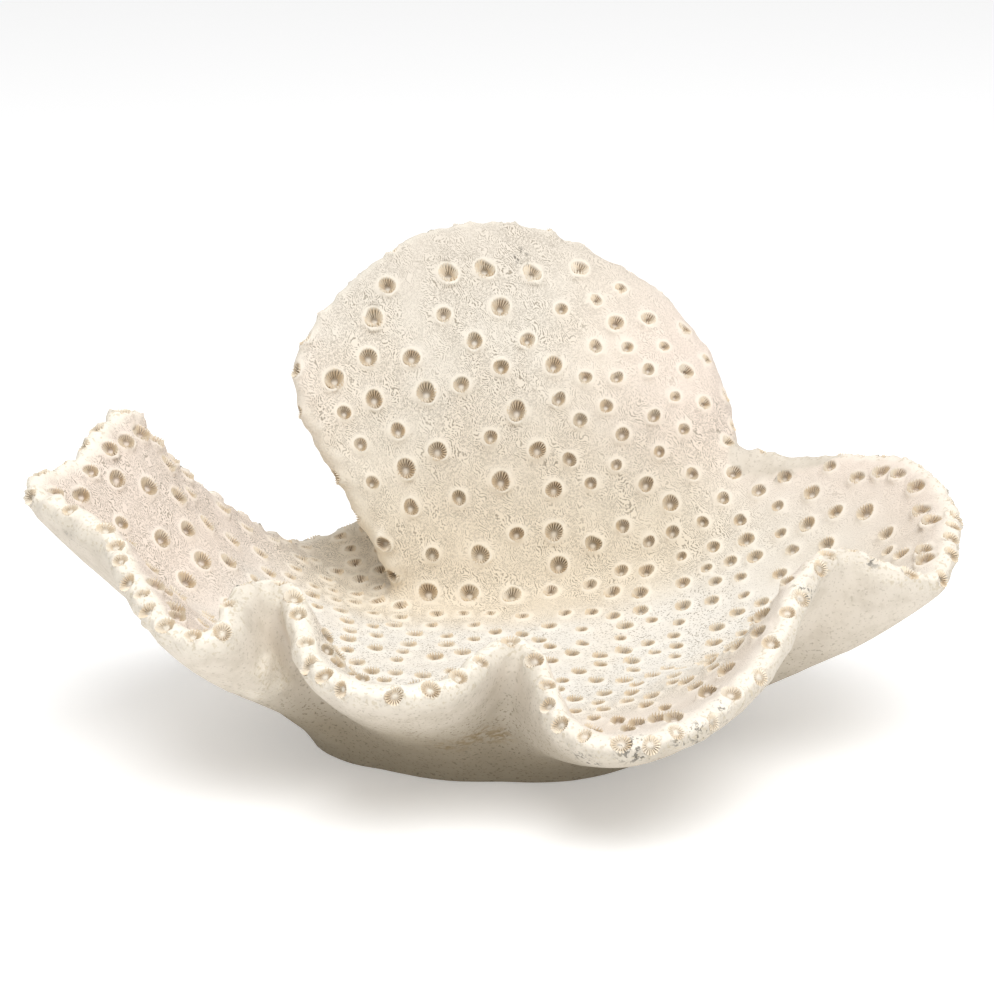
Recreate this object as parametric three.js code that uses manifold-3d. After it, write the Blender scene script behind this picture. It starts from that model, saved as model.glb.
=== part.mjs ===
// Skeleton of a plate-forming stony coral, cleaned and bleached: one stony plate that grew as a
// wide, shallow bowl with a ruffled rim, and forks at the back into a tall upright frond.
// It was sawn off its rock, so it stands on a flat cut under the middle of the bowl.
// Millimetres, +X towards the right lobe, +Y towards the back, +Z up, origin at the middle of the cut.
import * as THREE from "three";
import { mergeVertices } from "three/addons/utils/BufferGeometryUtils.js";
import Module from "manifold-3d";

// ---- driving dimensions ----
const RIM_THICKNESS = 8; // the rounded lip of the bowl
const WALL_THICKNESS = 8.2; // half way down the bowl's wall
const FLOOR_THICKNESS = 12; // at the lowest point of the bowl
const FROND_THICKNESS = 7.6; // upright frond, apart from its foot
const FROND_FOOT_THICKNESS = 11; // where the frond grows out of the bowl
const FORK_GAP = 0.3; // clearance between the two solids at the fork

const FLOOR = new THREE.Vector3(2, 8, 11); // lowest point of the bowl, half way through the plate
const STUMP = [1, 4]; // middle of the stump under the bowl, seen from above
const STUMP_SQUASH = 0.86; // it is wider from side to side than it is deep
const STUMP_DEPTH = 24; // how far the stump reaches below the plate, before the cut
const STUMP_RADII = [16, 66]; // where it begins to fade into the plate, and where it has
const RUFFLE_SPREAD = 0.045; // share of the rim's length that evens out its folds
const RUFFLE_POWER = 3.8; // how quickly the folds die away down the wall

// Mesh densities
const BOWL_COLUMNS = 156;
const BOWL_ROWS = 11;
const FROND_COLUMNS = 26;
const FROND_ROWS = 13;
const LIP_STEPS = 4;
const EVENING_PASSES = 30;

// Middle of the bowl's lip, from the tip of the left lobe round the front, the right lobe and the back.
const BOWL_RIM = [
  // left lobe, front edge
  [-121, -5, 67.5],
  [-109, -20, 65],
  [-99, -29, 61],
  [-93, -42, 56],
  [-86, -59, 51.5],
  [-79.5, -71.5, 48.5],
  [-72, -76.5, 47.5],
  // first fold
  [-66, -72, 50],
  [-64.5, -61, 53.5],
  [-59.5, -53.5, 55],
  [-52.5, -53.5, 54.5],
  [-48, -63, 50],
  [-46.5, -74, 45.5],
  // front left trough
  [-42, -84, 42.5],
  [-32, -95, 41],
  [-17, -97, 41],
  // second fold
  [-7, -90, 42],
  [-2, -80, 44],
  [3, -73.5, 45.5],
  [9, -73.5, 45],
  [13, -82, 40.5],
  // front right trough
  [17.5, -96, 33.5],
  [27, -105, 30],
  [42, -103, 31],
  [56, -90.5, 34.5],
  [67, -75, 39.5],
  // third fold
  [76, -58, 48.5],
  [82, -44, 57],
  [92, -34, 58.5],
  [104, -36, 54],
  // right lobe
  [115, -30, 50],
  [121, -12, 55],
  [123, 8, 59],
  [119, 27, 63],
  [110, 42, 63.5],
  [95, 55, 60],
  [82, 64, 58],
  [70, 72, 59],
  // back, behind the frond
  [50, 81, 49],
  [25, 88, 38],
  [-4, 94, 32],
  [-32, 97, 31],
  [-45, 93.5, 27],
  [-56, 87, 25.5],
  [-69, 74, 35],
  // left lobe, back edge
  [-82.5, 58, 51],
  [-93, 46, 65],
  [-98.5, 37, 75.5],
  [-102, 29, 79],
  [-106.5, 20, 75],
  [-111, 12, 70],
  [-117, 4, 69],
];

// Free edge of the frond, from its left foot up over the top and down to the right lobe.
const FROND_EDGE = [
  [-25, 60, 20],
  [-33, 58, 40],
  [-42, 59, 58],
  [-52, 61, 73],
  [-54.5, 65, 82.5],
  [-50.5, 71, 92],
  [-40.5, 78, 103.5],
  [-25, 85, 115],
  [-9, 90, 120],
  [9, 93, 119.5],
  [26, 93, 113],
  [46, 90, 102],
  [60, 86, 87],
  [66, 81, 74],
  [69, 75, 63],
  [72, 68, 56],
];

// Where the frond stands in the bowl, from left to right, seen from above.
const FROND_FOOT = [
  [-21, 60],
  [0, 62],
  [22, 62],
  [44, 59],
  [62, 53],
  [76, 46],
];
const FROND_FLARE = 8; // how far the frond's face runs out over the floor at its foot
const FROND_BEND = 0.45; // share of its lean that comes in its upper half
const FROND_SINK = 6; // how deep its right end sinks into the bowl's curved wall
const FROND_CURL = [3, 9]; // how far its edge curls over to the back, at its left and at its right
const CURL_POWER = 5; // how quickly the curl dies away below the edge
const CURL_DROP = Math.PI / 12; // slope at which the edge falls as it curls over

const wasm = await Module();
wasm.setup();

const vectors = (points) => points.map((p) => new THREE.Vector3(...p));
const rim = new THREE.CatmullRomCurve3(vectors(BOWL_RIM).reverse(), true, "centripetal");
rim.arcLengthDivisions = 1000;
const smooth = THREE.MathUtils.smoothstep;
const mix = THREE.MathUtils.lerp;

// The rim with its folds evened out
const calmRim = Array.from({ length: 240 }, (_, n) => {
  const sum = new THREE.Vector3();
  let total = 0;
  for (let k = -30; k <= 30; k++) {
    const weight = Math.exp(-0.5 * (k / 240 / RUFFLE_SPREAD) ** 2);
    sum.addScaledVector(rim.getPointAt((n + k + 240) / 240 % 1), weight);
    total += weight;
  }
  return sum.divideScalar(total);
});
const calm = new THREE.CatmullRomCurve3(calmRim, true, "centripetal");

// Columns stand closer together where the rim's stations do
const lengths = rim.getLengths(BOWL_COLUMNS * 12);
const columnTurn = (u) => lengths[Math.round(u * BOWL_COLUMNS) * 12] / lengths.at(-1);

// The bowl's middle surface: u runs round the rim, s from the floor to the rim.
function bowlPoint(u, s) {
  const turn = ((u % 1) + 1) % 1;
  const even = calm.getPoint(turn);
  const fold = rim.getPointAt(turn).sub(even);
  const rise = 0.35 * s ** 2 + 0.65 * s ** 4;
  const point = new THREE.Vector3(
    mix(FLOOR.x, even.x, s),
    mix(FLOOR.y, even.y, s),
    mix(FLOOR.z, even.z, rise),
  );
  return point.addScaledVector(fold, s ** RUFFLE_POWER);
}

function bowlHalves(u, s) {
  const thickness =
    s < 0.5
      ? mix(FLOOR_THICKNESS, WALL_THICKNESS, smooth(s, 0, 0.5))
      : mix(WALL_THICKNESS, RIM_THICKNESS, smooth(s, 0.5, 1));
  const spot = bowlPoint(u, s);
  const away = Math.hypot(STUMP_SQUASH * (spot.x - STUMP[0]), spot.y - STUMP[1]);
  const stump = STUMP_DEPTH * (1 - smooth(away, ...STUMP_RADII));
  return [thickness / 2, thickness / 2, stump];
}

// The point of the bowl's middle surface over a point of the plan
function bowlAbove(x, y) {
  const gap = (p) => Math.hypot(p.x - x, p.y - y);
  let [turn, reach] = [0.5, 0.5];
  for (let step = 0.5; step > 0.0005; step *= 0.7) {
    const [u0, s0] = [turn, reach];
    for (let i = -6; i <= 6; i++)
      for (let j = -6; j <= 6; j++) {
        const [u, s] = [u0 + (step * i) / 6, THREE.MathUtils.clamp(s0 + (step * j) / 6, 0, 1)];
        if (gap(bowlPoint(u, s)) < gap(bowlPoint(turn, reach))) [turn, reach] = [u, s];
      }
  }
  return bowlPoint(turn, reach);
}

const frondEdge = new THREE.CatmullRomCurve3(vectors(FROND_EDGE), false, "centripetal");
const frondFoot = new THREE.CatmullRomCurve3(
  FROND_FOOT.map(([x, y]) => bowlAbove(x, y)),
  false,
  "centripetal",
);

// The frond's middle surface: u runs from its left foot to the right lobe, s from the foot to the edge.
function frondPoint(u, s) {
  const foot = frondFoot.getPointAt(u);
  const edge = frondEdge.getPointAt(u);
  const flare = FROND_FLARE * Math.sin(Math.PI * u) ** 0.6;
  const bend = mix(s, s ** 2.2, FROND_BEND);
  const point = foot.clone().lerp(edge, s);
  point.y = foot.y + flare * (1 - (1 - s) ** 8) + (edge.y - foot.y - flare) * bend;
  point.z -= FROND_SINK * smooth(u, 0.78, 1) * Math.sin(Math.PI * s);
  const curl = mix(...FROND_CURL, smooth(u, 0.3, 0.75)) * smooth(u, 0.1, 0.3) * s ** CURL_POWER;
  point.y += curl;
  point.z -= curl * Math.tan(CURL_DROP);
  return point;
}

function frondHalves(u, s) {
  const half = mix(FROND_FOOT_THICKNESS, FROND_THICKNESS, smooth(s, 0, 0.45)) / 2;
  const sunk = mix(1, 0.6, smooth(u, 0.8, 1));
  return [half * sunk, half * sunk, 0];
}

// A plate with a rounded lip, grown to both sides of a middle surface. Its columns run along the
// lip and its rows up to it. A closed plate meets itself round a pole, and an open one has flat ends.
function plate({ point, halves, columns, rows, closed, grow = 0 }) {
  const across = closed ? columns : columns + 1;
  const middle = [];
  for (let i = 0; i < across; i++)
    for (let j = 0; j <= rows; j++) middle.push(point(i / columns, j / rows));
  const at = (i, j) => (i % across) * (rows + 1) + j;

  const faces = [];
  for (let i = 0; i < columns; i++)
    for (let j = 0; j < rows; j++) {
      const corners = [at(i, j), at(i + 1, j), at(i + 1, j + 1), at(i, j + 1)];
      faces.push(corners);
    }

  // Normals of the middle surface
  const normals = middle.map(() => new THREE.Vector3());
  for (const [a, b, c, d] of faces) {
    const diagonal = middle[c].clone().sub(middle[a]);
    const normal = diagonal.cross(middle[d].clone().sub(middle[b]));
    for (const corner of [a, b, c, d]) normals[corner].add(normal);
  }
  if (closed) {
    const pole = new THREE.Vector3();
    for (let i = 0; i < across; i++) pole.add(normals[at(i, 0)]);
    for (let i = 0; i < across; i++) normals[at(i, 0)].copy(pole);
  }
  normals.forEach((normal) => normal.normalize());
  // Evened out round the inner rows, where columns are closer together than the plate is thick
  for (let j = 1; j < rows; j++)
    for (let pass = 0; closed && pass < EVENING_PASSES * (1 - j / rows); pass++) {
      const before = normals.map((normal) => normal.clone());
      for (let i = 0; i < across; i++) {
        const [left, right] = [before[at(i + across - 1, j)], before[at(i + 1, j)]];
        normals[at(i, j)].add(left).add(right).normalize();
      }
    }

  // Upper skin, under skin, and the lip between them
  const positions = [];
  const add = (p) => positions.push(p.x, p.y, p.z) / 3 - 1;
  const sides = middle.map((_, n) => {
    const [i, j] = [Math.floor(n / (rows + 1)), n % (rows + 1)];
    const [over, below, drop] = halves(i / columns, j / rows);
    return [over + grow, below + grow, drop];
  });
  const offset = (n, distance) => middle[n].clone().addScaledVector(normals[n], distance);
  const upper = middle.map((_, n) => add(offset(n, sides[n][0])));
  const under = middle.map((_, n) => {
    const point = offset(n, -sides[n][1]);
    point.z -= sides[n][2];
    return add(point);
  });
  const lip = [];
  for (let i = 0; i < across; i++) {
    const n = at(i, rows);
    const [top, bottom] = sides[n];
    const outward = middle[n].clone().sub(middle[at(i, rows - 1)]);
    outward.addScaledVector(normals[n], -outward.dot(normals[n])).normalize();
    const line = [upper[n]];
    for (let k = 1; k < LIP_STEPS; k++) {
      const turn = (Math.PI * k) / LIP_STEPS;
      const height = Math.cos(turn) > 0 ? top * Math.cos(turn) : bottom * Math.cos(turn);
      const reach = ((top + bottom) / 2) * Math.sin(turn);
      line.push(add(offset(n, height).addScaledVector(outward, reach)));
    }
    line.push(under[n]);
    lip.push(line);
  }

  const triangles = [];
  const quad = (a, b, c, d) => triangles.push(a, b, c, a, c, d);
  for (const [a, b, c, d] of faces) {
    quad(upper[a], upper[b], upper[c], upper[d]);
    quad(under[d], under[c], under[b], under[a]);
  }
  for (let i = 0; i < columns; i++) {
    const [left, right] = [lip[i], lip[(i + 1) % across]];
    for (let k = 0; k < LIP_STEPS; k++) quad(left[k], right[k], right[k + 1], left[k + 1]);
  }
  if (!closed) {
    for (let i = 0; i < columns; i++) {
      const [a, b] = [at(i, 0), at(i + 1, 0)];
      quad(upper[b], upper[a], under[a], under[b]);
    }
    for (let j = 0; j < rows; j++) {
      const [a, b] = [at(0, j), at(0, j + 1)];
      quad(upper[a], upper[b], under[b], under[a]);
      const [c, d] = [at(columns, j), at(columns, j + 1)];
      quad(upper[d], upper[c], under[c], under[d]);
    }
    for (let k = 1; k < LIP_STEPS; k++) {
      const [first, last] = [lip[0], lip[columns]];
      triangles.push(first[0], first[k], first[k + 1]);
      triangles.push(last[0], last[k + 1], last[k]);
    }
  }
  const geometry = new THREE.BufferGeometry();
  geometry.setAttribute("position", new THREE.Float32BufferAttribute(positions, 3));
  geometry.setIndex(triangles);
  return geometry;
}

// manifold-3d solids from three.js geometry, and back
function solidFrom(geometry) {
  const only = new THREE.BufferGeometry();
  only.setAttribute("position", geometry.getAttribute("position"));
  only.setIndex(geometry.getIndex());
  const merged = mergeVertices(only, 1e-3);
  const index = merged.getIndex().array;
  const triVerts = [];
  for (let n = 0; n < index.length; n += 3) {
    const [a, b, c] = [index[n], index[n + 1], index[n + 2]];
    if (a !== b && b !== c && c !== a) triVerts.push(a, b, c);
  }
  const mesh = new wasm.Mesh({
    numProp: 3,
    vertProperties: new Float32Array(merged.getAttribute("position").array),
    triVerts: new Uint32Array(triVerts),
  });
  return new wasm.Manifold(mesh);
}

function geometryFrom(solid) {
  const mesh = solid.getMesh();
  const geometry = new THREE.BufferGeometry();
  geometry.setAttribute("position", new THREE.Float32BufferAttribute(mesh.vertProperties, 3));
  geometry.setIndex(new THREE.BufferAttribute(mesh.triVerts, 1));
  return geometry;
}

const bowlPlate = {
  point: (u, s) => bowlPoint(columnTurn(u), s),
  halves: (u, s) => bowlHalves(columnTurn(u), s),
  columns: BOWL_COLUMNS,
  rows: BOWL_ROWS,
  closed: true,
};
const frondPlate = {
  point: frondPoint,
  halves: frondHalves,
  columns: FROND_COLUMNS,
  rows: FROND_ROWS,
  closed: false,
};

function sawnBowl() {
  const ground = new THREE.BoxGeometry(400, 400, 100).translate(0, 0, -50);
  return solidFrom(plate(bowlPlate)).subtract(solidFrom(ground));
}

function frondOnBowl() {
  const room = solidFrom(plate({ ...bowlPlate, grow: FORK_GAP }));
  const [frond] = solidFrom(plate(frondPlate))
    .subtract(room)
    .decompose()
    .sort((a, b) => b.volume() - a.volume());
  return frond;
}

const stone = { color: 0xe9dfcc, roughness: 0.92, metalness: 0 };
function piece(name, solid) {
  const mesh = new THREE.Mesh(geometryFrom(solid), new THREE.MeshStandardMaterial(stone));
  mesh.name = name;
  return mesh;
}

const coral = new THREE.Group();
coral.add(piece("bowl", sawnBowl()));
coral.add(piece("frond", frondOnBowl()));
export default coral;
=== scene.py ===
# Skeleton of a plate-forming stony coral, cleaned and bleached: a shallow ruffled bowl that forks at
# the back into a tall frond, with a small cup for each polyp all over its upper side.
import heapq
import math
import random
from collections import Counter
from itertools import product

import bmesh
import bpy
from mathutils import Matrix, Vector, noise
from mathutils.bvhtree import BVHTree
from mathutils.kdtree import KDTree


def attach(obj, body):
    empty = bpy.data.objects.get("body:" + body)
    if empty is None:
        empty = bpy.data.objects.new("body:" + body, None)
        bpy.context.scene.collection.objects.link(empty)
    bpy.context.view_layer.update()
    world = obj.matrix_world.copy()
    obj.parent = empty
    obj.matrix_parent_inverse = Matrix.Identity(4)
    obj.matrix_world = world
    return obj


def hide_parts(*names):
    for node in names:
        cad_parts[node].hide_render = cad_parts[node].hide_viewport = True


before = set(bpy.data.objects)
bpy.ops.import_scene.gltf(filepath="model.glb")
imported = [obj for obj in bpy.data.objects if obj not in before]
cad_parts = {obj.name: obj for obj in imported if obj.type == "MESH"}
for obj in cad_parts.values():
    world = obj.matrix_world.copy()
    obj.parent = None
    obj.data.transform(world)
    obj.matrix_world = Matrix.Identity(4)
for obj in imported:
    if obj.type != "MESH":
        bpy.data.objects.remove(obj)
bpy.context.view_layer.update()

# ---- The plate: bowl and frond ----
# One stony plate of porous aragonite, laid down by the colony as it spread. The bowl and the frond
# are the same growth, so they run into each other at the fork without a joint.
# It was sawn off its rock, which left the flat cut that it stands on.
MM = 0.001  # the scene is in metres, and the coral's own sizes are in millimetres
GRAIN = 1.5 * MM  # spacing of the points over the plate
SINK = 3 * MM  # how far the foot of the frond reaches into the bowl
FOOT_GAP = 1.2 * MM  # what stands nearer the bowl than this is the foot of the frond
SAW_WASTE = 12 * MM  # stone below the cut, taken off once the plate is evened
FLAT_FACE_BEND = 0.7  # how much two triangles may bend, in radians, and still be made one face
FLAT_FACE_SKEW = 0.9  # and how skew that face may be, in radians too


def merged_copy(node):
    """A CAD node's own triangles as one closed skin."""
    skin = bmesh.new()
    skin.from_mesh(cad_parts[node].data)
    bmesh.ops.remove_doubles(skin, verts=skin.verts, dist=0.001 * MM)
    bmesh.ops.join_triangles(
        skin, faces=skin.faces, angle_face_threshold=FLAT_FACE_BEND, angle_shape_threshold=FLAT_FACE_SKEW
    )
    return skin


def placed(name, held):
    """An object that holds a mesh, a lamp or a camera, put into the scene."""
    made = bpy.data.objects.new(name, held)
    bpy.context.scene.collection.objects.link(made)
    return made


def taken_back(finished):
    """The finished skin of a working object, which is then thrown away."""
    skin = bmesh.new()
    skin.from_object(finished, bpy.context.evaluated_depsgraph_get())
    bpy.data.objects.remove(finished)
    return skin


bowl = merged_copy("bowl")
frond = merged_copy("frond")
bowl_tree = BVHTree.FromBMesh(bowl)
frond_tree = BVHTree.FromBMesh(frond)

for point in frond.verts:
    _, out_of_bowl, _, gap = bowl_tree.find_nearest(point.co)
    if gap < FOOT_GAP:
        point.co -= out_of_bowl * SINK
cut_face = [f for f in bowl.faces if all(v.co.z < 0.2 * MM for v in f.verts)]
drawn = bmesh.ops.extrude_face_region(bowl, geom=cut_face)["geom"]
bmesh.ops.delete(bowl, geom=cut_face, context="FACES")
drawn_points = [g for g in drawn if isinstance(g, bmesh.types.BMVert)]
bmesh.ops.translate(bowl, verts=drawn_points, vec=(0, 0, -SAW_WASTE))

blank = bpy.data.meshes.new("blank")
frond.to_mesh(blank)
bowl.from_mesh(blank)
bowl.to_mesh(blank)
frond.free()
bowl.free()
blank_object = placed("blank", blank)
rounded = blank_object.modifiers.new("rounded", "SUBSURF")
rounded.levels = rounded.render_levels = 1
fused = blank_object.modifiers.new("fused", "REMESH")
fused.mode = "VOXEL"
fused.voxel_size = GRAIN
stone = taken_back(blank_object)


def to_node(tree, place):
    """How far a place is from a CAD node."""
    return tree.find_nearest(place)[3]


def nearer_frond(place):
    """Whether a place belongs to the frond rather than to the bowl."""
    return to_node(frond_tree, place) < to_node(bowl_tree, place)


def even_out(points, rounds):
    """Evens the skin at the given points, a little in each round."""
    for _ in range(rounds):
        bmesh.ops.smooth_vert(
            stone, verts=points, factor=0.5, use_axis_x=True, use_axis_y=True, use_axis_z=True
        )


even_out(stone.verts, rounds=9)
# The fork is filled out where the frond rises from the bowl, as the colony filled it.
FORK = 7 * MM
fork = [v for v in stone.verts if to_node(bowl_tree, v.co) < FORK and to_node(frond_tree, v.co) < FORK]
even_out(fork, rounds=22)
# So is the hollow under the bowl where the plate flares out from its stump.
FLARE_LOW, FLARE_HIGH = -8 * MM, 30 * MM
flare = [v for v in stone.verts if FLARE_LOW < v.co.z < FLARE_HIGH and v.normal.z < 0.1]
even_out(flare, rounds=12)


def share(low, high, value):
    """0 below low, 1 above high, and an even bend between them."""
    t = min(max((value - low) / (high - low), 0), 1)
    return t * t * (3 - 2 * t)


def ridged(place):
    """How far a place belongs to the upper right of the frond, which is ridged on both faces."""
    on_face = 1 - share(0.6 * MM, 2.5 * MM, to_node(frond_tree, place))
    return on_face * share(50, 80, place.z / MM) * share(-10, 20, place.x / MM)


# The skin is never quite even: it swells and sinks, and low upright ridges run up the frond.
SWELL = 0.18  # all heights here are in millimetres
SLOW_LENGTH, SLOW_HEIGHT = 17, 0.35
QUICK_LENGTH, QUICK_HEIGHT = 6, 0.10
RIDGE_WIDTH, RIDGE_DEPTH, RIDGE_LENGTH = 6, 20, 60  # across, through and up the frond
RIDGE_HEIGHT = 0.75
stone.normal_update()
for point in stone.verts:
    slow = noise.noise(point.co / (SLOW_LENGTH * MM))
    quick = noise.noise(point.co / (QUICK_LENGTH * MM) + Vector((7, 3, 1)))
    x, y, z = point.co / MM
    wave = noise.noise(Vector((x / RIDGE_WIDTH, y / RIDGE_DEPTH, z / RIDGE_LENGTH)))
    ridge = wave * ridged(point.co)
    height = SWELL + SLOW_HEIGHT * slow + QUICK_HEIGHT * quick + RIDGE_HEIGHT * ridge
    point.co += point.normal * height * MM

whole_skin = stone.verts[:] + stone.edges[:] + stone.faces[:]
cut = bmesh.ops.bisect_plane(
    stone, geom=whole_skin, plane_co=(0, 0, 0), plane_no=(0, 0, -1), clear_outer=True
)
cut_edges = [e for e in cut["geom_cut"] if isinstance(e, bmesh.types.BMEdge) and e.is_boundary]
bmesh.ops.triangle_fill(stone, use_beauty=True, use_dissolve=False, edges=cut_edges, normal=(0, 0, -1))
stone.normal_update()
stone.verts.ensure_lookup_table()
stone.faces.ensure_lookup_table()

# The growing lip is where the stone is deep behind the skin and the skin bends away on both sides.
LIP_BEND = 0.03 * MM  # how far a point of the lip stands out from the points round it
LIP_DEPTH = 10.5 * MM  # how deep the stone is behind it
LIP_LOWEST = 16 * MM  # nothing below this is lip
LIP_REACH, LIP_FEWEST = 8 * MM, 28  # a short ridge has fewer such points round it, and is no lip
stone_tree = BVHTree.FromBMesh(stone)


def tree_of(places):
    """Places sorted so that the nearest to another place is quickly found."""
    tree = KDTree(len(places))
    for index, place in enumerate(places):
        tree.insert(place, index)
    tree.balance()
    return tree


def is_lip(point):
    around = sum((e.other_vert(point).co for e in point.link_edges), Vector()) / len(point.link_edges)
    if (around - point.co).dot(point.normal) > -LIP_BEND or point.co.z < LIP_LOWEST:
        return False
    depth = stone_tree.ray_cast(point.co - point.normal * 0.4 * MM, -point.normal)[3]
    return depth is None or depth > LIP_DEPTH


lip_points = [v for v in stone.verts if is_lip(v)]
lip_tree = tree_of([v.co for v in lip_points])
lip_points = [v for v in lip_points if len(lip_tree.find_range(v.co, LIP_REACH)) > LIP_FEWEST]
lip_tree = tree_of([v.co for v in lip_points])
on_lip = {v.index for v in lip_points}

# What the skin joins to the floor of the bowl without crossing the lip is the upper side, and what it
# joins to the stump is the bare side.
BOWL_FLOOR = Vector((2, 0, 17)) * MM  # in the stone under the middle of the bowl
FLOOR_REACH = 25 * MM
STUMP_TOP = 6 * MM
LIP_TOLL = 40  # how much harder it is to cross the lip than to follow the skin
reach = [math.inf] * len(stone.verts)
upper = [False] * len(stone.verts)
queue = []
for point in stone.verts:
    if point.normal.z > 0.93 and (point.co - BOWL_FLOOR).length < FLOOR_REACH:
        upper[point.index] = True
    elif point.co.z > STUMP_TOP:
        continue
    reach[point.index] = 0
    heapq.heappush(queue, (0, point.index))
while queue:
    far, index = heapq.heappop(queue)
    if far > reach[index]:
        continue
    point = stone.verts[index]
    for edge in point.link_edges:
        other = edge.other_vert(point)
        step = far + edge.calc_length() * (LIP_TOLL if other.index in on_lip else 1)
        if step < reach[other.index]:
            reach[other.index] = step
            upper[other.index] = upper[index]
            heapq.heappush(queue, (step, other.index))
# The frond has cups on its front and none on its back.
for point in stone.verts:
    if nearer_frond(point.co):
        if point.normal.y > 0.2 and point.normal.z < 0.3:
            upper[point.index] = False
        elif point.normal.y < -0.2:
            upper[point.index] = True

upper_tree = tree_of([v.co for v in stone.verts if upper[v.index] and v.index not in on_lip])
under_tree = tree_of([v.co for v in stone.verts if not upper[v.index] and v.index not in on_lip])


def up_through(place):
    """The way through the plate, from its underside to its upper side, at a place on its lip."""
    return (upper_tree.find(place)[0] - under_tree.find(place)[0]).normalized()


# The underside is bare and smooth, so it needs fewer points.
UNDERSIDE_RATIO = 0.6  # share of the points that stay
blank = bpy.data.meshes.new("blank")
stone.to_mesh(blank)
blank_object = placed("blank", blank)
plain = blank_object.vertex_groups.new(name="plain")
under_points = [v.index for v in stone.verts if not upper[v.index] and lip_tree.find(v.co)[2] > 2 * MM]
plain.add(under_points, 1, "REPLACE")
stone.free()
thinned = blank_object.modifiers.new("thinned", "DECIMATE")
thinned.vertex_group = "plain"
thinned.ratio = UNDERSIDE_RATIO
stone = taken_back(blank_object)
stone.normal_update()
stone.verts.ensure_lookup_table()
stone.faces.ensure_lookup_table()

# The cups. Each polyp sat in its own: a low round crest about 4 mm across round a funnel, with a small
# pillar at the bottom. They stand in a row round the lip, where the plate was still growing and they
# are wide and shallow, and over all of the upper side.
CUP_SEED = 11
STEEPEST = -0.75  # a face that looks away from the front and the sky by more than this has no cups
FEWEST_FACES = 4  # that a cup needs under it
FROND_SPACING, FROND_RADIUS = 10.5, 2.5  # in millimetres, from cup to cup and from axis to crest
BOWL_SPACING, BOWL_RADIUS = 6.3, 2.1
FROND_ROW, BOWL_ROW = 9.5, 6.5  # spacing in the row round the lip
FROND_ROW_RADII, BOWL_ROW_RADII = (1.8, 2.3), (2.15, 2.8)
SPACING_SPREAD = (0.86, 0.95, 1.05, 1.2)  # away from the lip, as shares of what is usual at a place
RADIUS_SPREAD = (0.78, 1.17)


def on_front_wall(place):
    """How far a place belongs to the wall behind the front lip, right of the second fold."""
    return share(-5, 20, place.x / MM) * share(35, 62, -place.y / MM)


def chalk_share(place):
    """How far a place belongs to the chalky floor of the bowl, which ends at the front wall."""
    x, y, z = place / MM
    front = share(0, 25, x) * share(18, 45, -y)
    return (1 - share(26, 46, z)) * (1 - share(32, 56, y)) * (1 - 0.85 * front)


def habit(place, on_frond):
    """Spacing and crest radius of the cups at a place, in millimetres."""
    x = place.x / MM
    if on_frond:
        right = share(5, 45, x)
        return FROND_SPACING - 1.9 * right, FROND_RADIUS - 0.45 * right
    left = share(50, 85, -x)
    right = share(70, 95, x)
    front = on_front_wall(place)
    inner = share(5, 11, lip_tree.find(place)[2] / MM)
    spacing = BOWL_SPACING + 4.4 * front + (1.1 + 3.8 * left + 3.2 * right) * inner
    return spacing, BOWL_RADIUS + 0.35 * left + 0.3 * right + 0.2 * front


draw = random.Random(CUP_SEED)
cups = []
CELL = 14 * MM  # side of the boxes that cups are sorted into, so that only near ones are measured
cells = {}


def cell_of(place):
    return (math.floor(place.x / CELL), math.floor(place.y / CELL), math.floor(place.z / CELL))


def free_at(place, spacing):
    """Whether no other cup stands too near a place."""
    cx, cy, cz = cell_of(place)
    for dx, dy, dz in product((-1, 0, 1), repeat=3):
        for other, other_spacing in cells.get((cx + dx, cy + dy, cz + dz), ()):
            if (other - place).length < 0.5 * (spacing + other_spacing):
                return False
    return True


def settle(place, facing, radius, spacing, on_frond, on_the_lip):
    """Gives a new polyp its place."""
    cells.setdefault(cell_of(place), []).append((place, spacing))
    cup = {"place": place, "facing": facing, "radius": radius, "frond": on_frond, "lip": on_the_lip}
    cup["rim"] = on_the_lip and not on_frond  # it is one of the wide shallow ones on the bowl's lip
    cup["turn"] = draw.uniform(0, 2 * math.pi)
    cups.append(cup)


row = []
for point in stone.verts:
    if lip_tree.find(point.co)[2] < 0.6 * MM:
        on_frond = nearer_frond(point.co)
        facing_up = point.normal.dot(up_through(point.co))
        # a second row stands on the inner shoulder of the lip, on the right and on the left lobe
        right = share(5, 20, point.co.x / MM) * (1 - share(76, 90, -point.co.y / MM))
        second = right + share(60, 75, -point.co.x / MM)
        if -0.15 < facing_up < (0.9 if on_frond else 0.5 + 0.47 * second):
            row.append((point, on_frond))
draw.shuffle(row)
row.sort(key=lambda entry: not entry[1] and entry[0].normal.dot(up_through(entry[0].co)) > 0.5)
for point, on_frond in row:
    spacing = (FROND_ROW if on_frond else BOWL_ROW) * draw.uniform(0.9, 1.2) * MM
    if free_at(point.co, spacing):
        radius = draw.uniform(*(FROND_ROW_RADII if on_frond else BOWL_ROW_RADII)) * MM
        settle(point.co.copy(), point.normal.copy(), radius, spacing, on_frond, True)

front_and_up = Vector((0, -1, 0.4))
inside = [f for f in stone.faces if f.normal.dot(front_and_up) > STEEPEST]
draw.shuffle(inside)
for face in inside:
    place = face.calc_center_median()
    shoulder = 2.0 + 3.5 * share(35, 55, -place.y / MM)
    if lip_tree.find(place)[2] < shoulder * MM or upper_tree.find(place)[2] > 1.3 * MM:
        continue
    on_frond = nearer_frond(place)
    spacing, radius = habit(place, on_frond)
    # fewer on the steep back of the front lip
    spacing += 3.5 * share(0.3, 0.6, face.normal.y) * share(30, 48, -place.y / MM)
    spacing *= draw.choice(SPACING_SPREAD) * MM
    if free_at(place, spacing):
        radius *= draw.uniform(*RADIUS_SPREAD)
        settle(place, face.normal.copy(), radius * MM, spacing, on_frond, False)

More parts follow.
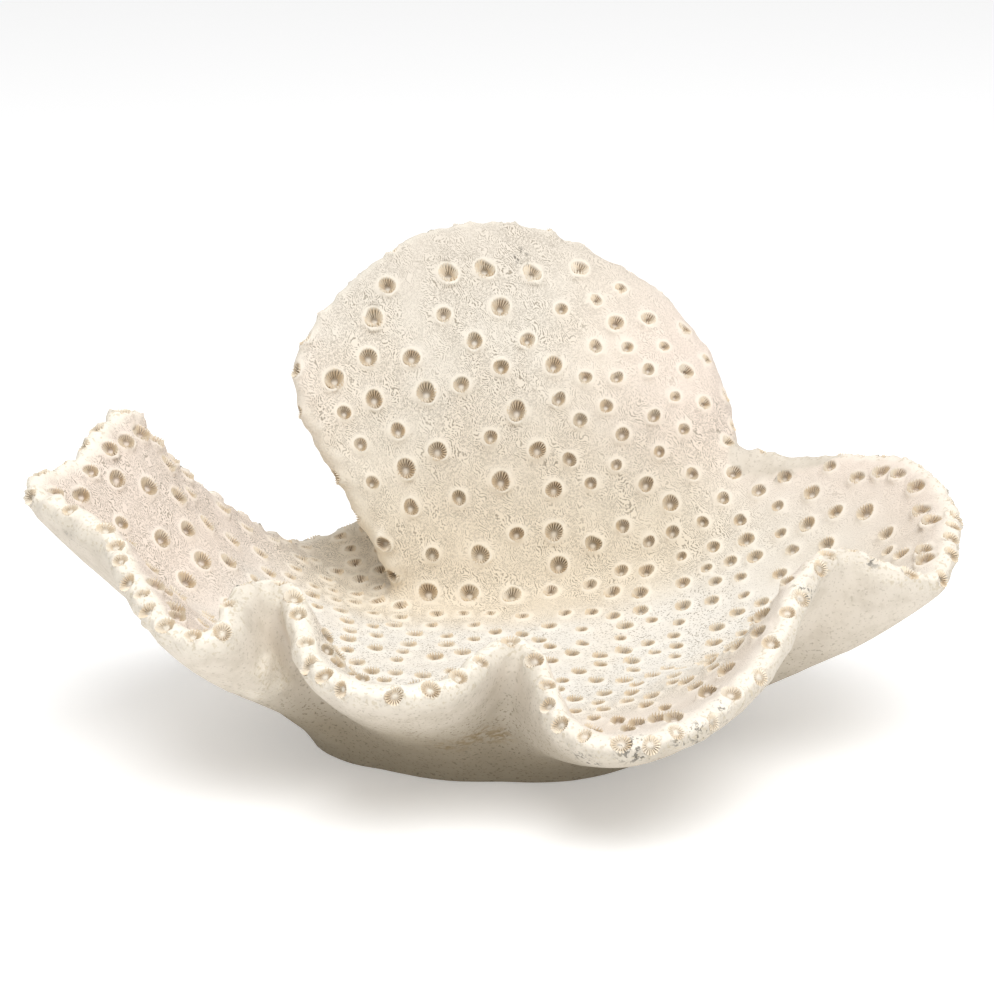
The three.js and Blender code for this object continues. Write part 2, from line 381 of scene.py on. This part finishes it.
# A low mound stands under each cup. The lip is knobbly between them, most of all on the left lobe.
KNOB_LENGTH, KNOB_HEIGHT, LEFT_KNOB_HEIGHT = 4.5, 0.9, 0.6  # in millimetres, as the mounds are
MOUND_WIDTH, MOUND_HEIGHT = 2.4, 0.35
MOUND_END = 6  # every mound has ended this far from the middle of its cup
RIM_MOUND_HEIGHT, LEFT_RIM_MOUND_HEIGHT = 0.55, 0.6
cup_tree = tree_of([cup["place"] for cup in cups])
for point in stone.verts:
    near_lip = 1 - share(3, 7, lip_tree.find(point.co)[2] / MM)
    knob = KNOB_HEIGHT + LEFT_KNOB_HEIGHT * share(50, 75, -point.co.x / MM)
    wave = noise.noise(point.co / (KNOB_LENGTH * MM))
    point.co += point.normal * (knob * near_lip * wave) * MM
    for place, index, distance in cup_tree.find_range(point.co, MOUND_END * MM):
        cup = cups[index]
        if point.normal.dot(cup["facing"]) > 0.2:
            rise = MOUND_HEIGHT
            if cup["rim"]:
                rise = RIM_MOUND_HEIGHT + LEFT_RIM_MOUND_HEIGHT * share(40, 75, -place.x / MM)
            slope = 1 - share(cup["radius"], cup["radius"] + MOUND_WIDTH * MM, distance)
            point.co += point.normal * (rise * MM) * slope
stone.normal_update()

# Then each cup is opened in its mound, unless the skin is too broken there to take it.
FOOT = 0.45 * MM  # how far the foot of a crest reaches out from it
GROWTH_CENTRE = Vector((5, 40, 10)) * MM
stone_tree = BVHTree.FromBMesh(stone)
face_tree = tree_of([f.calc_center_median() for f in stone.faces])
cup_number = stone.faces.layers.int.new("cup")
taken = set()
opened = []


def one_disc(faces):
    """Whether faces make one whole disc, with enough points round it for a round cup."""
    uses = Counter(edge for face in faces for edge in face.edges)
    ends = Counter(point for edge, count in uses.items() if count == 1 for point in edge.verts)
    points = {point for face in faces for point in face.verts}
    whole = len(points) - len(uses) + len(faces) == 1 and all(count == 2 for count in ends.values())
    return whole and len(ends) >= 9


for cup in cups:
    centre = stone_tree.find_nearest(cup["place"])[0]
    near = face_tree.find_range(centre, cup["radius"] + 1.6 * MM)
    patch = [stone.faces[i] for _, i, _ in near if stone.faces[i].normal.dot(cup["facing"]) > 0.15]
    if len(patch) < FEWEST_FACES:
        continue
    facing = sum((f.normal * f.calc_area() for f in patch), Vector()).normalized()
    floor_faces = []
    for face in patch:
        away = face.calc_center_median() - centre
        if (away - facing * away.dot(facing)).length < cup["radius"] + FOOT - 0.1 * MM:
            floor_faces.append(face)
    points = {v for f in floor_faces for v in f.verts}
    if not one_disc(floor_faces) or points & taken:
        continue
    taken |= points
    # the cup leans towards the growing edge, most of all near the edge of the frond
    outward = centre - GROWTH_CENTRE
    outward = (outward - facing * outward.dot(facing)).normalized()
    inner = share(6, 22, lip_tree.find(centre)[2] / MM) * (1 - 0.7 * on_front_wall(centre))
    if cup["frond"]:
        lean = 20 + 22 * share(30, 105, centre.z / MM)
    else:
        faces_front = share(0.2, 0.8, -outward.y)
        lean = 40 + 14 * faces_front - (20 + 14 * faces_front) * inner
    lean = math.radians(lean * draw.uniform(0.7, 1.2) * (0 if cup["rim"] else 1))
    axis = facing * math.cos(lean) + outward * math.sin(lean)
    tilt = lean * (0.5 if cup["frond"] else 0.75 - 0.25 * inner)
    level = facing * math.cos(tilt) + outward * math.sin(tilt)
    across = level.orthogonal().normalized()
    along = level.cross(across)
    cup["stand"] = Matrix((across, along, axis)).transposed().to_4x4()
    cup["stand"].translation = centre
    cup["inverse"] = cup["stand"].inverted()
    cup["outward"] = outward
    # those outside on the front lip, right of the second fold, are worn nearly flat
    front = share(14, 30, centre.x / MM) * share(30, 60, -centre.y / MM)
    outside = 1 - share(0.3, 0.6, facing.dot(up_through(centre)))
    cup["worn"] = front * outside if cup["lip"] else 0
    deep = 0.5 - 0.25 * cup["worn"] if cup["rim"] else draw.uniform(0.78, 0.98)
    cup["depth"] = cup["radius"] * deep
    # the brown in the cups is fainter on the lobes and on the floor, and stronger on the front wall
    brown = 1 - 0.3 * share(62, 88, centre.x / MM) - 0.15 * share(45, 75, -centre.x / MM)
    brown += 0.4 * on_front_wall(centre) - 0.2 * chalk_share(centre) * (0 if cup["lip"] else 1)
    cup["brown"] = brown
    cup["oval"] = draw.uniform(0, 0.17)
    cup["lobed"] = draw.uniform(0, 0.07)
    opened.append(cup)
    for face in floor_faces:
        face[cup_number] = len(opened)

crest = stone.verts.layers.float.new("crest")
hollow = stone.verts.layers.float.new("hollow")
bmesh.ops.dissolve_faces(stone, faces=[f for f in stone.faces if f[cup_number]], use_verts=False)
lids = [f for f in stone.faces if f[cup_number]]


def half_turn_of(angle):
    """The same angle, between half a turn back and half a turn on."""
    return (angle + math.pi) % (2 * math.pi) - math.pi


def set_ring(lid, radius, rise, evenness, keep_height, crest_share, hollow_share):
    """Sets the points of one lid on a circle about its cup's axis, and gives the height they stand at."""
    cup = opened[lid[cup_number] - 1]
    local = [cup["inverse"] @ v.co for v in lid.verts]
    count = len(local)
    angles = [math.atan2(p.y, p.x) for p in local]
    area = sum(a.x * b.y - a.y * b.x for a, b in zip(local, local[1:] + local[:1]))
    step = (1 if area > 0 else -1) * 2 * math.pi / count
    start = sum(half_turn_of(a - step * i - angles[0]) for i, a in enumerate(angles)) / count
    mean = sum(p.z for p in local) / count
    for i, v in enumerate(lid.verts):
        even = angles[0] + start + step * i
        angle = angles[i] + half_turn_of(even - angles[i]) * evenness
        height = mean + (local[i].z - mean) * keep_height + rise
        away = angle - cup["turn"]
        reach = radius * (1 + cup["oval"] * math.cos(2 * away) + cup["lobed"] * math.sin(3 * away))
        v.co = cup["stand"] @ Vector((reach * math.cos(angle), reach * math.sin(angle), height))
        # the brown is stronger on the wall that the lean overhangs, as painted shade, and fainter on worn
        # cups
        overhung = (v.co - cup["stand"].translation).dot(cup["outward"]) / cup["radius"]
        shade_and_wear = min(1, 0.68 + 0.5 * overhung) * (1 - 0.75 * cup["worn"])
        v[crest] = crest_share
        v[hollow] = hollow_share * cup["brown"] * shade_and_wear
    return mean + rise


for lid in lids:
    foot = opened[lid[cup_number] - 1]["radius"] + FOOT
    set_ring(lid, foot, rise=0.05 * MM, evenness=0.7, keep_height=1.0, crest_share=0.4, hollow_share=0)
# For each ring of a cup, from its crest down: its radius as a share of the crest's, its rise, its
# drop as a share of the depth, how much of the skin's own unevenness it keeps, and how far it counts
# as crest and as hollow.
# the hollow's brown is partly the cups' stain and partly painted shade, darkest down the funnel
RINGS = (
    (1.00, 0.26 * MM, 0, 0.5, 1.0, 0.0),
    (0.90, 0, 0.30, 0.3, 0.1, 0.8),
    (0.68, 0, 0.50, 0.1, 0.0, 1.0),
    (0.36, 0, 0.20, 0.0, 0.0, 0.42),
)
for radius_share, rise, drop, keep_height, crest_share, hollow_share in RINGS:
    lids = bmesh.ops.extrude_discrete_faces(stone, faces=lids)["faces"]
    for lid in lids:
        cup = opened[lid[cup_number] - 1]
        radius, step = cup["radius"] * radius_share, rise - cup["depth"] * drop
        height = set_ring(lid, radius, step, 0, keep_height, crest_share, hollow_share)
        cup.setdefault("brim", height)
PILLAR_HEIGHT = 0.3  # as a share of the depth
PILLAR_HOLLOW = 0.2  # the pillar reaches up out of the brown
pillars = bmesh.ops.poke(stone, faces=lids)
for point in pillars["verts"]:
    cup = opened[point.link_faces[0][cup_number] - 1]
    point.co += cup["stand"].to_3x3() @ Vector((0, 0, PILLAR_HEIGHT * cup["depth"]))
    point[hollow] = PILLAR_HOLLOW
# a speck that the fusing left loose in the stone goes
bmesh.ops.delete(stone, geom=[v for v in stone.verts if len(v.link_faces) < 3], context="VERTS")
stone.normal_update()

# Where on the plate a place is, for its finish.
GRIME = (  # middle of each dark mark in millimetres, and how far it reaches
    ((8, 84, 121), 4), ((9, 91, 113), 4), ((52, -100, 33), 5), ((47, -104, 32), 3.5),
    ((24, -103, 26), 6), ((36, -108, 31), 7), ((58, -92, 38), 4), ((99, -37, 59), 3),
    ((-110, -22, 60), 3), ((82, -52, 56), 6),
)
RUST = (((-4, -64, 20), 9), ((-10, -61, 17), 9), ((1, -61, 19), 7))  # the same for the brown stains
opened_tree = tree_of([cup["stand"].translation for cup in opened])
halo = stone.verts.layers.float.new("halo")
margin = stone.verts.layers.float.new("margin")
bare = stone.verts.layers.float.new("bare")
tan = stone.verts.layers.float.new("tan")
chalky = stone.verts.layers.float.new("chalky")
pink = stone.verts.layers.float.new("pink")
smooth = stone.verts.layers.float.new("smooth")
grime = stone.verts.layers.float.new("grime")
rust = stone.verts.layers.float.new("rust")


def marked(marks, place):
    """How strongly a place is marked: wholly near the middle of a mark, and not past its reach."""
    most = 0
    for middle, reach in marks:
        away = (Vector(middle) * MM - place).length
        most = max(most, 1 - share(0.3 * reach * MM, reach * MM, away))
    return most


for point in stone.verts:
    x, y, z = point.co / MM
    front = on_front_wall(point.co)
    right_lobe = share(62, 88, x)
    upper_right = share(12, 35, x) * share(62, 82, z)
    point[tan] = share(34, 54, y) * (1 - share(30, 85, z)) * (1 - share(45, 75, abs(x - 5)))
    point[chalky] = chalk_share(point.co)
    point[smooth] = max(right_lobe, 0.8 * front, 0.6 * upper_right)
    point[pink] = max(share(35, 75, -x), share(15, 60, x) * share(40, 70, z), 0.5 * front)
    point[grime] = marked(GRIME, point.co)
    point[rust] = marked(RUST, point.co)
    _, index, distance = opened_tree.find(point.co)
    radius = opened[index]["radius"]
    point[halo] = 1 - share(radius + 0.3 * MM, radius + 1.5 * MM, distance)
    to_lip = lip_tree.find(point.co)[2]
    to_upper, to_under = upper_tree.find(point.co)[2], under_tree.find(point.co)[2]
    under_share = to_upper / (to_upper + to_under + 0.001 * MM)
    if nearer_frond(point.co):
        point[margin] = 0.55 - 0.55 * share(0.3 * MM, 3 * MM, to_lip)
        point[bare] = share(0.75, 0.95, under_share)
    else:
        point[margin] = 1 - share(0.8 * MM, 5 * MM, to_lip)
        point[bare] = share(0.35, 0.65, under_share)

plate_mesh = bpy.data.meshes.new("coral_plate")
stone.to_mesh(plate_mesh)
stone.free()
plate_mesh.polygons.foreach_set("use_smooth", [True] * len(plate_mesh.polygons))
plate = placed("coral_plate", plate_mesh)


def new_material(name, roughness, specular):
    """A plain material, and what its pattern is joined up in."""
    material = bpy.data.materials.new(name)
    material.use_nodes = True
    tree = material.node_tree
    shader = tree.nodes["Principled BSDF"]
    shader.inputs["Roughness"].default_value = roughness
    shader.inputs["Specular IOR Level"].default_value = specular
    return material, tree, shader


def joined(tree, kind, inputs=None, **settings):
    """A node with its settings and inputs: an input is a number, a colour or what another node gives."""
    made = tree.nodes.new(kind)
    for name, value in settings.items():
        setattr(made, name, value)
    for name, value in (inputs or {}).items():
        if isinstance(value, bpy.types.NodeSocket):
            tree.links.new(value, made.inputs[name])
        else:
            made.inputs[name].default_value = value
    return made


def speckle(tree, where, scale, detail=2.0, rough=0.5):
    """Soft spots all over the stone, about 1 / scale metres across."""
    inputs = {"Vector": where, "Scale": scale, "Detail": detail, "Roughness": rough}
    return joined(tree, "ShaderNodeTexNoise", inputs).outputs["Fac"]


def between(tree, value, low, high, start=0.0, end=1.0):
    """Start where a value is below low, end where it is above high, and an even bend between them."""
    inputs = {"Value": value, "From Min": low, "From Max": high, "To Min": start, "To Max": end}
    made = joined(tree, "ShaderNodeMapRange", inputs, interpolation_type="SMOOTHSTEP")
    return made.outputs["Result"]


def math_of(tree, how, one, two):
    return joined(tree, "ShaderNodeMath", {0: one, 1: two}, operation=how).outputs[0]


def times(tree, one, two):
    return math_of(tree, "MULTIPLY", one, two)


def blended(tree, amount, under, over):
    """One colour laid over another, by an amount from 0 to 1."""
    made = joined(tree, "ShaderNodeMix", {0: amount, 6: under, 7: over}, data_type="RGBA")
    return made.outputs[2]


def carried(tree, name):
    """A value that the points of the mesh carry."""
    made = joined(tree, "ShaderNodeAttribute", attribute_type="GEOMETRY", attribute_name=name)
    return made.outputs["Fac"]


CREAM = (0.80, 0.745, 0.655, 1)
FAWN = (0.81, 0.735, 0.63, 1)
ROSE = (0.83, 0.71, 0.62, 1)
CHALK = (0.80, 0.765, 0.70, 1)
FROND_TOP_SHADE = (0.69, 0.62, 0.53, 1)
TAN = (0.76, 0.66, 0.51, 1)
IVORY = (0.92, 0.865, 0.75, 1)
LIP_SPECK = (0.50, 0.42, 0.28, 1)
DASH = (0.28, 0.24, 0.18, 1)
PIT = (0.17, 0.085, 0.03, 1)
OLIVE_PIT = (0.16, 0.105, 0.04, 1)
SHADE = (0.26, 0.215, 0.145, 1)
UNDER = (0.69, 0.625, 0.535, 1)
SOOT = (0.07, 0.065, 0.055, 1)
RUSTY = (0.24, 0.17, 0.08, 1)
MOSS = (0.37, 0.32, 0.235, 1)
PORE = (0.20, 0.165, 0.11, 1)

plate_stone, tree, shader = new_material("plate_stone", roughness=0.88, specular=0.25)
where = joined(tree, "ShaderNodeTexCoord").outputs["Object"]
high = joined(tree, "ShaderNodeSeparateXYZ", {"Vector": where}).outputs["Z"]
halo_here = carried(tree, "halo")
margin_here = carried(tree, "margin")
bare_here = carried(tree, "bare")
crest_here = carried(tree, "crest")
hollow_here = carried(tree, "hollow")
tan_here = carried(tree, "tan")
chalky_here = carried(tree, "chalky")
pink_here = carried(tree, "pink")
smooth_here = carried(tree, "smooth")

# warm patches, a few centimetres across
patches = between(tree, speckle(tree, where, 30, 3), 0.38, 0.64)
skin = blended(tree, patches, CREAM, FAWN)
skin = blended(tree, times(tree, pink_here, 0.8), skin, ROSE)
chalk_patches = between(tree, speckle(tree, where, 45, 2), 0.3, 0.6, 0.4, 1.0)
skin = blended(tree, times(tree, chalky_here, chalk_patches), skin, CHALK)
skin = blended(tree, times(tree, tan_here, 0.75), skin, TAN)
# the top of the frond darker, as painted shade
skin = blended(tree, between(tree, high, 0.085, 0.118, 0.0, 0.7), skin, FROND_TOP_SHADE)

# fine winding grooves between the cups, which run beside each other and are broken into short lengths
ACROSS_GROOVES = (10500.0, 6000.0, 5200.0)  # way across the grooves, and how close they run
SWAY = 105.0  # how much they wind
dot = joined(tree, "ShaderNodeVectorMath", {0: where, 1: ACROSS_GROOVES}, operation="DOT_PRODUCT")
wound = math_of(tree, "ADD", dot.outputs["Value"], times(tree, speckle(tree, where, 175, 1.5), SWAY))
runs = joined(tree, "ShaderNodeMath", {0: wound}, operation="SINE").outputs[0]
breaks = times(tree, speckle(tree, where, 2100, 1.0), 2.3)
grooves = between(tree, math_of(tree, "ADD", times(tree, runs, 0.42), breaks), 0.77, 0.98, 1.0, 0.0)
# and specks in their place on the chalky floor
specks = between(tree, speckle(tree, where, 1900, 1.0), 0.34, 0.43, 1.0, 0.0)
dashes = joined(tree, "ShaderNodeMix", {0: chalky_here, 2: grooves, 3: specks}).outputs[0]
thin = between(tree, speckle(tree, where, 60, 2), 0.30, 0.60, 0.45, 1.0)
thin = times(tree, thin, between(tree, smooth_here, 0.0, 1.0, 1.0, 0.35))
off_halo = between(tree, halo_here, 0.0, 0.9, 1.0, 0.0)
off_lip = between(tree, margin_here, 0.0, 0.8, 1.0, 0.12)
off_underside = between(tree, bare_here, 0.2, 0.8, 1.0, 0.0)
open_ground = times(tree, times(tree, off_halo, off_lip), off_underside)
dashes = times(tree, dashes, times(tree, thin, open_ground))
skin = blended(tree, times(tree, dashes, 0.78), skin, DASH)

# the underside, in a duller tone of its own that is partly painted shade, and darker and warmer towards
# its foot as painted shade with some stain, with faint mottles and open pores
foot_shade_and_stain = math_of(tree, "ADD", high, times(tree, speckle(tree, where, 25, 3), 0.03))
under_tone = blended(tree, between(tree, foot_shade_and_stain, 0.024, 0.062, 0.9, 0.0), UNDER, SHADE)
mottles = between(tree, speckle(tree, where, 160, 4, 0.65), 0.42, 0.66, 0.0, 0.24)
under_tone = blended(tree, mottles, under_tone, MOSS)
pores = between(tree, speckle(tree, where, 1250, 1.0), 0.31, 0.39, 1.0, 0.0)
pores = times(tree, pores, between(tree, foot_shade_and_stain, 0.028, 0.06, 0.85, 0.22))
under_tone = blended(tree, pores, under_tone, PORE)
skin = blended(tree, bare_here, skin, under_tone)

# ivory lip and crests, and a faint pale ring round each cup
ivory_lip = times(tree, margin_here, between(tree, smooth_here, 0.0, 1.0, 0.85, 0.5))
pale = math_of(tree, "MAXIMUM", times(tree, crest_here, 0.45), ivory_lip)
pale = math_of(tree, "MAXIMUM", pale, times(tree, halo_here, 0.15))
pale = times(tree, pale, between(tree, bare_here, 0.3, 1.0, 1.0, 0.35))
skin = blended(tree, pale, skin, IVORY)
# tan specks between the knobs of the lip
lip_specks = between(tree, speckle(tree, where, 850, 2), 0.36, 0.45, 0.42, 0.0)
lip_specks = times(tree, lip_specks, between(tree, margin_here, 0.35, 0.9))
skin = blended(tree, lip_specks, skin, LIP_SPECK)
# brown deep in the cups, partly their stain and partly painted shade in the hollow, paler in those of the
# lip
pit_tone = blended(tree, between(tree, speckle(tree, where, 55, 1), 0.4, 0.6), PIT, OLIVE_PIT)
pit_strength = times(tree, hollow_here, between(tree, margin_here, 0.3, 0.9, 0.95, 0.6))
skin = blended(tree, pit_strength, skin, pit_tone)
# dark grime in the pores of a few worn spots, and rusty stains low on the front
dirt = between(tree, speckle(tree, where, 620, 3, 0.6), 0.40, 0.47, 1.0, 0.0)
skin = blended(tree, times(tree, dirt, times(tree, carried(tree, "grime"), 0.75)), skin, SOOT)
stain = between(tree, speckle(tree, where, 420, 4, 0.65), 0.44, 0.60, 0.0, 0.75)
skin = blended(tree, times(tree, carried(tree, "rust"), stain), skin, RUSTY)
tree.links.new(skin, shader.inputs["Base Color"])

# fine relief: the grain of the stone, the grooves and pores sunk in it, and the knobs of the lip
BUMP_STRENGTH, BUMP_DISTANCE = 0.6, 0.0003
grain = times(tree, speckle(tree, where, 1500, 2), 0.35)
knobs = times(tree, speckle(tree, where, 750, 2), times(tree, margin_here, 1.6))
relief = math_of(tree, "ADD", math_of(tree, "SUBTRACT", grain, dashes), knobs)
relief = math_of(tree, "SUBTRACT", relief, times(tree, pores, bare_here))
bump_inputs = {"Strength": BUMP_STRENGTH, "Distance": BUMP_DISTANCE, "Height": relief}
bump = joined(tree, "ShaderNodeBump", bump_inputs)
tree.links.new(bump.outputs["Normal"], shader.inputs["Normal"])
plate_mesh.materials.append(plate_stone)

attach(plate, "root")
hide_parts("bowl", "frond")

# ---- The septa ----
# Thin upright blades of the same stone, standing round the inside of each cup from its wall towards
# the pillar in its middle. The polyp laid them down between the folds of its stomach.
SEPTA = 18
BLADE = 0.235  # width of a blade at the wall, as a share of the crest radius
BLADE_TOP, BLADE_FOOT, BLADE_TIP = 0.03, -0.95, -0.62  # heights, from 0 at the crest to -1 at the floor
BLADE_ROOT, BLADE_REACH = 1.0, 0.3  # where a blade starts and ends, as shares of the crest radius
BLADE_PALE = (0.88, 0.81, 0.69, 1)
BLADE_WARM = (0.83, 0.715, 0.55, 1)
BLADE_DEEP = (0.58, 0.40, 0.23, 1)
TRIANGLE_HEIGHT = 1.5  # of the three-sided cone that a blade is stretched from, whose radius is 1

blades = bmesh.new()
bmesh.ops.create_cone(blades, cap_ends=True, segments=3, radius1=1, radius2=0, depth=1)
fall = (BLADE_FOOT - BLADE_TOP) / TRIANGLE_HEIGHT
climb = fall + BLADE_TIP - BLADE_FOOT
shape = Matrix(
    (
        (0, 0, BLADE_REACH - BLADE_ROOT, (BLADE_REACH + BLADE_ROOT) / 2),
        (0, BLADE / math.sqrt(3), 0, 0),
        (fall, 0, climb, BLADE_TIP - climb / 2),
        (0, 0, 0, 1),
    )
)
bmesh.ops.transform(blades, matrix=shape, verts=blades.verts)
one_blade = blades.verts[:] + blades.edges[:] + blades.faces[:]
bmesh.ops.spin(
    blades, geom=one_blade, cent=(0, 0, 0), axis=(0, 0, 1), dvec=(0, 0, 0),
    angle=2 * math.pi * (SEPTA - 1) / SEPTA, steps=SEPTA - 1, use_duplicate=True,
)
bmesh.ops.recalc_face_normals(blades, faces=blades.faces)
blade_mesh = bpy.data.meshes.new("blades")
blades.to_mesh(blade_mesh)
blades.free()

septa_stone, tree, shader = new_material("septa_stone", roughness=0.85, specular=0.25)
where = joined(tree, "ShaderNodeTexCoord").outputs["Object"]
warm = between(tree, speckle(tree, where, 300, 2), 0.35, 0.65)
tone = blended(tree, warm, BLADE_PALE, BLADE_WARM)
# the blades darker down in the cup, partly stain and partly painted shade
tone = blended(tree, times(tree, carried(tree, "hollow"), 0.34), tone, BLADE_DEEP)
tree.links.new(tone, shader.inputs["Base Color"])

for name, on_frond in (("bowl_septa", False), ("frond_septa", True)):
    septa = bmesh.new()
    septa.verts.layers.float.new("hollow")
    first = 0
    for cup in opened:
        if cup["frond"] != on_frond:
            continue
        septa.from_mesh(blade_mesh)
        septa.verts.ensure_lookup_table()
        hollow = septa.verts.layers.float["hollow"]
        on_brim = cup["stand"] @ Matrix.Translation((0, 0, cup["brim"]))
        turned = Matrix.Rotation(cup["turn"], 4, "Z")
        sized = Matrix.Diagonal((cup["radius"], cup["radius"], cup["depth"], 1))
        fit = on_brim @ turned @ sized
        for v in septa.verts[first:]:
            v[hollow] = min(1, -v.co.z)
            v.co = fit @ v.co
        first = len(septa.verts)
    mesh = bpy.data.meshes.new(name)
    septa.to_mesh(mesh)
    septa.free()
    mesh.materials.append(septa_stone)
    piece = placed(name, mesh)
    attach(piece, "root")

# ---- The studio ----
# A wide pale table under a pale sky, with one large soft light high in front of it, a little to the
# right. The camera stands a little above the rim of the bowl and looks straight at its front.
TABLE_RADIUS = 6  # sizes here are in metres
TABLE_DROP = 0.0002  # how far the table is below the cut, so that the two never lie in one plane
TABLE_WHITE = (0.92, 0.92, 0.92, 1)
TABLE_GLOW = 0.3
WHITE = (1, 1, 1, 1)
SKY_STRENGTH = 0.53
LAMP_PLACE, LAMP_AIM = Vector((0.18, -0.62, 1.3)), Vector((0, 0, 0.05))
LAMP_SIZE, LAMP_POWER = 1.5, 19.4
CAMERA_DISTANCE = 1.1
CAMERA_TILT = math.radians(15)
CAMERA_AIM = Vector((0.0019, 0, 0.066))

table = bmesh.new()
bmesh.ops.create_circle(table, cap_ends=True, segments=64, radius=TABLE_RADIUS)
bmesh.ops.translate(table, verts=table.verts, vec=(0, 0, -TABLE_DROP))
table_mesh = bpy.data.meshes.new("table")
table.to_mesh(table_mesh)
table.free()
table_object = placed("table", table_mesh)
table_white, _, shader = new_material("table_white", roughness=0.9, specular=0.2)
shader.inputs["Base Color"].default_value = TABLE_WHITE
shader.inputs["Emission Color"].default_value = WHITE
shader.inputs["Emission Strength"].default_value = TABLE_GLOW
table_mesh.materials.append(table_white)

world = bpy.data.worlds.new("studio")
world.use_nodes = True
bpy.context.scene.world = world
sky = world.node_tree.nodes["Background"]
sky.inputs["Color"].default_value = WHITE
sky.inputs["Strength"].default_value = SKY_STRENGTH

lamp = bpy.data.lights.new("over", "AREA")
lamp.shape = "DISK"
lamp.size = LAMP_SIZE
lamp.energy = LAMP_POWER
lamp_object = placed("over", lamp)
lamp_object.location = LAMP_PLACE
lamp_object.rotation_euler = (LAMP_AIM - LAMP_PLACE).to_track_quat("-Z", "Y").to_euler()

eye = CAMERA_AIM + Vector((0, -math.cos(CAMERA_TILT), math.sin(CAMERA_TILT))) * CAMERA_DISTANCE
lens = bpy.data.cameras.new("camera")
lens.lens = 148.85
lens.sensor_width = 36
lens.clip_start = 0.05
lens.clip_end = 50
camera = placed("camera", lens)
camera.location = eye
camera.rotation_euler = (CAMERA_AIM - eye).to_track_quat("-Z", "Y").to_euler()
bpy.context.scene.camera = camera
bpy.context.scene.view_settings.view_transform = "Standard"
